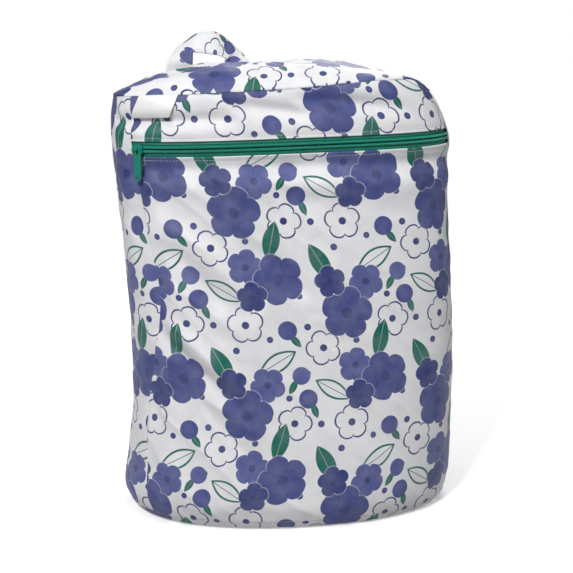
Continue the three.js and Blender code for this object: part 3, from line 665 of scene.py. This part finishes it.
# Zip tapes
# Two woven green polyester tapes, stitched behind the folded edges of the cloth.
# A low cord runs along each beside the coil.
def plain_material(name, colour, roughness, grain, depth, variation=0.2):
    material = bpy.data.materials.new(name)
    material.use_nodes = True
    tree = material.node_tree
    shader = tree.nodes["Principled BSDF"]
    where = tree.nodes.new("ShaderNodeTexCoord")
    cloud = tree.nodes.new("ShaderNodeTexNoise")
    cloud.inputs["Scale"].default_value = grain
    cloud.inputs["Detail"].default_value = 5
    tree.links.new(where.outputs["Object"], cloud.inputs["Vector"])
    dark = tuple(c * (1 - variation) for c in colour)
    light = tuple(min(1, c * (1 + variation)) for c in colour)
    tree.links.new(blend_colours(tree, cloud.outputs["Fac"], dark, light), shader.inputs["Base Color"])
    rough = calc(tree, "MULTIPLY_ADD", cloud.outputs["Fac"], 0.2, roughness - 0.1)
    tree.links.new(rough, shader.inputs["Roughness"])
    bump = tree.nodes.new("ShaderNodeBump")
    bump.inputs["Distance"].default_value = depth
    bump.inputs["Strength"].default_value = 0.6
    tree.links.new(cloud.outputs["Fac"], bump.inputs["Height"])
    tree.links.new(bump.outputs[0], shader.inputs["Normal"])
    return material


tape_green = plain_material("zip_tape", (0.003, 0.185, 0.125), 0.6, 1400, 0.0001, 0.12)
TAPE_DEPTH = CLOTH + 0.0006
TAPE_END = 0.008
# Distance from the zip's centre line and how far the tape's face stands out there
TAPE_PROFILE = [
    (0.0012, -0.0009), (0.0012, 0.0), (0.0034, -0.0003), (0.0040, -0.0001), (0.0044, 0.0004),
    (0.0048, 0.0005), (0.0052, 0.0003), (0.0060, 0.0002), (0.0074, 0.0002), (0.0140, 0.0),
    (0.0140, -0.0009),
]
for side, node in ((-1, "zip_tape_lower"), (1, "zip_tape_upper")):
    ends = arc_at(left_seam(ZIP_HEIGHT)) - TAPE_END, arc_at(right_seam(ZIP_HEIGHT)) + TAPE_END
    angle = angle_at_arc(np.linspace(*ends, 250))
    strips = [
        wall_point(angle, zip_z(angle) + side * away, rise - TAPE_DEPTH) for away, rise in TAPE_PROFILE
    ]
    tape_points = np.array(strips if side > 0 else strips[::-1])
    tape_places = np.stack([arc_at(angle) + 0 * tape_points[..., 2], tape_points[..., 2]], -1)
    tape = grid_mesh(node + "_woven", tape_points, tape_places, tape_green)
    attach(tape, "bag")
    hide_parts(node)


# Zip coil
# Two rows of fine green nylon loops, sewn to the tapes' inner edges,
# that mesh along the middle of the closed zip.
def rings_mesh(name, rings_list, material):
    """One piece from many short closed tubes, each a list of rings of points."""
    points, faces = [], []
    for tube in rings_list:
        first = len(points)
        around = len(tube[0])
        for ring in tube:
            points.extend(ring)
        for r in range(len(tube) - 1):
            for k in range(around):
                a = first + r * around + k
                b = first + r * around + (k + 1) % around
                faces.append((a, b, b + around, a + around))
        last = first + (len(tube) - 1) * around
        faces.append(tuple(first + k for k in reversed(range(around))))
        faces.append(tuple(last + k for k in range(around)))
    mesh = bpy.data.meshes.new(name)
    mesh.from_pydata([tuple(p) for p in points], [], faces)
    mesh.polygons.foreach_set("use_smooth", [True] * len(faces))
    mesh.materials.append(material)
    piece = bpy.data.objects.new(name, mesh)
    scene.collection.objects.link(piece)
    return piece


coil_green = plain_material("zip_coil", (0.010, 0.27, 0.185), 0.35, 900, 0.00003, 0.05)
SLIDER_INSET = 0.007
SLIDER_LENGTH = 0.011
CHAIN_PITCH = 0.0013
# Reach from the zip's centre line and rise above the tapes, round one loop
COIL_ARCH = [(0.0032, 0.0002), (0.0031, 0.0013), (0.0023, 0.0021), (0.0012, 0.0020), (0.0004, 0.0008)]
COIL_RADIUS = 0.0006
COIL_SIDES = 5
COIL_PROUD = 0.0003
# The loops begin under the slider
slider_angle = float(angle_at_arc(arc_at(left_seam(ZIP_HEIGHT)) + SLIDER_INSET))
chain_start = float(angle_at_arc(arc_at(slider_angle) - SLIDER_LENGTH / 4))
start_arc, end_arc = arc_at(chain_start), arc_at(right_seam(ZIP_HEIGHT))
loops = []
count = int((end_arc - start_arc) / CHAIN_PITCH)
for i in range(count):
    for side in (-1, 1):
        at = np.array([angle_at_arc(start_arc + (i + 0.25 * (1 + side)) * CHAIN_PITCH)])
        middle = zip_z(at)
        normal = wall_normal(at, middle)[0]
        foot = wall_point(at, middle, COIL_PROUD - TAPE_DEPTH)[0]
        ahead = plain_wall(at + 0.01, middle)[0] - plain_wall(at - 0.01, middle)[0]
        ahead /= np.linalg.norm(ahead)
        up = np.array([0, 0, side])
        tube = []
        for reach, rise in COIL_ARCH:
            centre = foot + up * reach + normal * rise
            ring = []
            for k in range(COIL_SIDES):
                turn = 2 * math.pi * k / COIL_SIDES
                ring.append(centre + COIL_RADIUS * (ahead * math.cos(turn) + normal * math.sin(turn)))
            tube.append(ring if side > 0 else ring[::-1])
        loops.append(tube)
coil = rings_mesh("zip_coil_loops", loops, coil_green)
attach(coil, "bag")
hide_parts("zip_chain")


# Topstitching along the zip
# White thread in short stitches through the folded edges of the cloth and the tapes,
# one row above the zip and one below.
thread_white = plain_material("thread", (0.50, 0.50, 0.54), 0.6, 3000, 0.00003, 0.15)
STITCH_PITCH = 0.0030
STITCH_LENGTH = 0.0024
THREAD_RADIUS = 0.00022
# Share of a stitch's length, share of the thread's radius there, and how deep it has sunk
STITCH_SHAPE = [
    (0.0, 0.45, 0.00035),
    (0.12, 0.9, 0.0001),
    (0.5, 1.0, 0.0),
    (0.88, 0.9, 0.0001),
    (1.0, 0.45, 0.00035),
]


def stitch(start, end, outward):
    along = (end - start) / np.linalg.norm(end - start)
    across = np.cross(outward, along)
    tube = []
    for share, thick, sunk in STITCH_SHAPE:
        middle = start + (end - start) * share + outward * (THREAD_RADIUS * 0.6 - sunk)
        turns = [2 * math.pi * k / 6 for k in range(6)]
        radius = THREAD_RADIUS * thick
        tube.append([middle + radius * (across * math.cos(a) + outward * math.sin(a)) for a in turns])
    return tube


stitches = []
for line_arc, line_z, line_rise in stitch_lines:
    for begin in np.arange(line_arc[0] + 0.002, line_arc[-1] - 0.004, STITCH_PITCH):
        span = np.array([begin, begin + STITCH_LENGTH])
        angle = angle_at_arc(span)
        height = np.interp(span, line_arc, line_z)
        ends = wall_point(angle, height, np.interp(span, line_arc, line_rise))
        stitches.append(stitch(ends[0], ends[1], wall_normal(angle, height)[0]))
zip_stitching = rings_mesh("zip_stitching", stitches, thread_white)
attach(zip_stitching, "bag")


# Strap handle
# A flat strap of the same printed cloth, folded and stitched along both edges.
# Both ends are sewn into the back of the top seam, and it is rolled over once.
STRAP_WIDTH = 0.0254
STRAP_THICKNESS = 0.0024
STRAP_SPAN = 0.057
STRAP_RISE = 0.028
STRAP_REACH = 0.009
STRAP_OFFSET = -0.070
STRAP_CLEARANCE = 0.0034
# Order, across, up, forward, turn and lean of the strap's stations
STRAP_STATIONS = np.array([
    (0, -1, 0, 0, 0, 0),
    (1, -1, 0.16, 0, 0, 0),
    (2, -0.93, 0.47, 0.38, 0.15, 0),
    (3, -0.82, 0.78, 0.18, 0.28, 6),
    (4, -0.63, 0.88, -0.06, 0.38, 18),
    (5, -0.22, 0.97, -0.07, 0.45, 49),
    (6, 0.21, 0.9, 0.0, 0.5, 60),
    (7, 0.55, 0.72, -0.24, 0.55, 47),
    (8, 0.87, 0.42, -0.4, 0.66, 25),
    (9, 1, 0.14, -0.05, 0.94, 6),
    (10, 1.0, 0, 0, 1, 0),
]).astype(float)
STRAP_LAST = len(STRAP_STATIONS) - 1


def back_rim_at(x):
    low, high = math.pi * 0.75, math.pi * 1.25
    for _ in range(24):
        middle = (low + high) / 2
        place = plain_wall(np.array([middle]), rim_z(np.array([middle])))[0]
        low, high = (middle, high) if place[0] > x else (low, middle)
    low = np.array([low])
    return wall_point(low, rim_z(low))[0]


strap_seats = [back_rim_at(STRAP_OFFSET + side * STRAP_SPAN / 2) for side in (-1, 1)]


def strap_place(t):
    return [table_at(STRAP_STATIONS, column, np.array([STRAP_LAST * t]))[0] for column in range(1, 6)]


def strap_centre(t):
    across, up, forward = strap_place(t)[:3]
    point = strap_seats[0] + (strap_seats[1] - strap_seats[0]) * (1 + across) / 2
    return point + np.array([0, -forward * STRAP_REACH, CLOTH + STRAP_CLEARANCE + up * STRAP_RISE])


strap_rings, strap_places, strap_stitches = [], [], []
strap_edges = {}
STRAP_OUTLINE = [
    (-1, -0.3), (-0.97, -0.8), (-0.9, -1), (-0.8, -0.86), (-0.7, -1), (0, -1), (0.7, -1),
    (0.8, -0.86), (0.9, -1), (0.97, -0.8), (1, -0.3), (1, 0.3), (0.97, 0.8), (0.9, 1), (0.8, 0.86),
    (0.7, 1), (0, 1), (-0.7, 1), (-0.8, 0.86), (-0.9, 1), (-0.97, 0.8), (-1, 0.3),
]
STRAP_STITCH_LINES = [(-0.8, -0.86), (0.8, -0.86), (-0.8, 0.86), (0.8, 0.86)]
STRAP_PRINT = 0.9
STRAP_PRINT_BACK = 0.98
STRAP_LENGTH = 0.17
for t in np.linspace(0, 1, 90):
    ahead = strap_centre(min(t + 0.02, 1)) - strap_centre(max(t - 0.02, 0))
    ahead /= np.linalg.norm(ahead)
    turn, lean = strap_place(t)[3:]
    roll, lean = math.pi * (1 - turn), math.radians(lean)
    over = np.array([0, math.cos(lean), math.sin(lean)])
    wide = np.array([math.cos(roll), 0, 0]) + over * math.sin(roll)
    wide -= ahead * wide.dot(ahead)
    wide /= np.linalg.norm(wide)
    face = np.cross(ahead, wide)
    middle = strap_centre(t)
    half_wide, half_thick = wide * STRAP_WIDTH / 2, face * STRAP_THICKNESS / 2
    strap_rings.append([middle + half_wide * w + half_thick * f for w, f in STRAP_OUTLINE])
    strap_places.append([
        ((STRAP_PRINT_BACK if f > 0 else STRAP_PRINT) + w * STRAP_WIDTH / 2, STRAP_LENGTH * t)
        for w, f in STRAP_OUTLINE
    ])
    for w, f in STRAP_STITCH_LINES:
        place = middle + half_wide * w + half_thick * f
        strap_edges.setdefault((w, f), []).append((place, face * np.sign(f)))
strap = grid_mesh("strap", np.array(strap_rings), np.array(strap_places), printed_cloth, wrap=True)
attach(strap, "bag")
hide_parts("handle_strap")
for edge in strap_edges.values():
    places = np.array([place for place, outward in edge])
    run = np.concatenate([[0], np.cumsum(np.linalg.norm(np.diff(places, axis=0), axis=1))])
    for begin in np.arange(0.004, run[-1] - 0.006, STITCH_PITCH):
        ends = [
            np.array([np.interp(at, run, places[:, axis]) for axis in range(3)])
            for at in (begin, begin + STITCH_LENGTH)
        ]
        outward = edge[int(np.searchsorted(run, begin + STITCH_LENGTH / 2))][1]
        strap_stitches.append(stitch(ends[0], ends[1], outward))
strap_stitching = rings_mesh("strap_stitching", strap_stitches, thread_white)
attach(strap_stitching, "bag")


# Bare woven tab
# A bare white satin ribbon, folded in two and sewn into the top seam at the front left.
# It hangs a little askew and its free corner stands off the hood.
TAB_WIDTH = 0.038
TAB_DROP = 0.021
TAB_DEPTH = 0.001
TAB_LIFT = 0.0024
TAB_SKEW = 0.010
TAB_OFFSET = -0.115
TAB_GAP = 0.0003
TAB_WAVE = 0.00035
RIBBON = 0.00026
satin = plain_material("satin_tab", (0.76, 0.75, 0.75), 0.36, 900, 0.00008, 0.03)


def tab_point(across, down, depth):
    """A place on the ribbon: shares across and down it, and metres in from its front face."""
    arc = TAB_OFFSET + (across - 0.5) * TAB_WIDTH - down * TAB_SKEW
    angle = angle_at_arc(arc)
    free = np.clip(down / 0.14, 0, 1)
    lift = (TAB_DEPTH + TAB_GAP) * free + TAB_GAP + TAB_LIFT * down**2 * (0.55 + 0.75 * across)
    wave = TAB_WAVE * np.sin(across * 5 + down * 2.2) * down
    return wall_point(angle, rim_z(angle) - down * TAB_DROP, lift + wave - depth)


fold_turns = np.linspace(0, math.pi, 8)[1:-1]
layer_downs = np.linspace(0, 1, 14)


def ribbon_path(inset):
    """Down one layer of the folded ribbon, round its fold and up the other."""
    bend = TAB_DEPTH / 2
    reach = bend - inset
    lowest = 1 - bend / TAB_DROP
    front = [(d * lowest, inset) for d in layer_downs]
    turn = [(lowest + reach * math.sin(a) / TAB_DROP, bend - reach * math.cos(a)) for a in fold_turns]
    back = [(d * lowest, TAB_DEPTH - inset) for d in layer_downs[::-1]]
    return np.array(front + turn + back)


outside_path, inside_path = ribbon_path(0), ribbon_path(RIBBON)
middle_path = (outside_path + inside_path) / 2
tab_columns = np.concatenate([[0, 0.004], np.linspace(0.02, 0.98, 34), [0.996, 1]])
tab_rings = []
for column, across in enumerate(tab_columns):
    full = 0 if column in (0, len(tab_columns) - 1) else 1
    outer = middle_path + full * (outside_path - middle_path)
    inner = middle_path + full * (inside_path - middle_path)
    ring = np.concatenate([outer, inner[::-1]])
    tab_rings.append(tab_point(across + 0 * ring[:, 0], ring[:, 0], ring[:, 1]))
tab_rings = np.array(tab_rings)
tab = grid_mesh("folded_tab", tab_rings, tab_rings[..., ::2], satin, wrap=True)
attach(tab, "bag")
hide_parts("woven_tab")


# Slider and pull
# The slider sits at the left end of the closed zip with the long pull hanging from its bail.
# Both are cast metal under green enamel.
enamel = plain_material("slider_enamel", (0.006, 0.20, 0.135), 0.3, 160, 0.00005, 0.1)
for name in ("zip_slider", "zip_pull"):
    for finish in bpy.data.objects[name].material_slots:
        finish.material = enamel


# Floor and light
# A plain white floor and a white surround, with a light above the front left and fainter ones
# at the right, behind and overhead.
FLOOR_HALF = 1.1
FLOOR_GLOW = 0.24
SURROUND_LIGHT = 0.27
floor_corners = [(x * FLOOR_HALF, y * FLOOR_HALF, 0) for x, y in ((-1, -1), (1, -1), (1, 1), (-1, 1))]
floor_mesh = bpy.data.meshes.new("floor")
floor_mesh.from_pydata(floor_corners, [], [(0, 1, 2, 3)])
floor = bpy.data.objects.new("floor", floor_mesh)
scene.collection.objects.link(floor)
floor.visible_diffuse = False
floor_white = bpy.data.materials.new("floor_white")
floor_white.use_nodes = True
floor_shader = floor_white.node_tree.nodes["Principled BSDF"]
floor_shader.inputs["Base Color"].default_value = (0.95, 0.95, 0.95, 1)
floor_shader.inputs["Roughness"].default_value = 1.0
floor_shader.inputs["Specular IOR Level"].default_value = 0
floor_shader.inputs["Emission Color"].default_value = (1, 1, 1, 1)
floor_shader.inputs["Emission Strength"].default_value = FLOOR_GLOW
floor_mesh.materials.append(floor_white)
world = bpy.data.worlds.new("studio")
scene.world = world
world.use_nodes = True
surround = world.node_tree
seen = surround.nodes.new("ShaderNodeLightPath").outputs["Is Camera Ray"]
strength = calc(surround, "MULTIPLY_ADD", seen, 1 - SURROUND_LIGHT, SURROUND_LIGHT)
surround.links.new(strength, surround.nodes["Background"].inputs["Strength"])
surround.nodes["Background"].inputs["Color"].default_value = (1, 1, 1, 1)
for name, place, size, power in (
    ("key", (-0.9, -1.75, 1.75), 0.4, 45),
    ("side", (2.0, -0.9, 1.2), 0.9, 5),
    ("back", (0.7, 2.1, 1.5), 0.9, 22),
):
    light_data = bpy.data.lights.new(name, "AREA")
    light_data.size = size
    light_data.energy = power
    light = bpy.data.objects.new(name, light_data)
    scene.collection.objects.link(light)
    light.location = place
    light.rotation_euler = (Vector((0, 0, 0.2)) - Vector(place)).to_track_quat("-Z", "Y").to_euler()
sky_data = bpy.data.lights.new("overhead", "SUN")
sky_data.energy = 0.8
sky_data.angle = math.radians(75)
sky = bpy.data.objects.new("overhead", sky_data)
scene.collection.objects.link(sky)
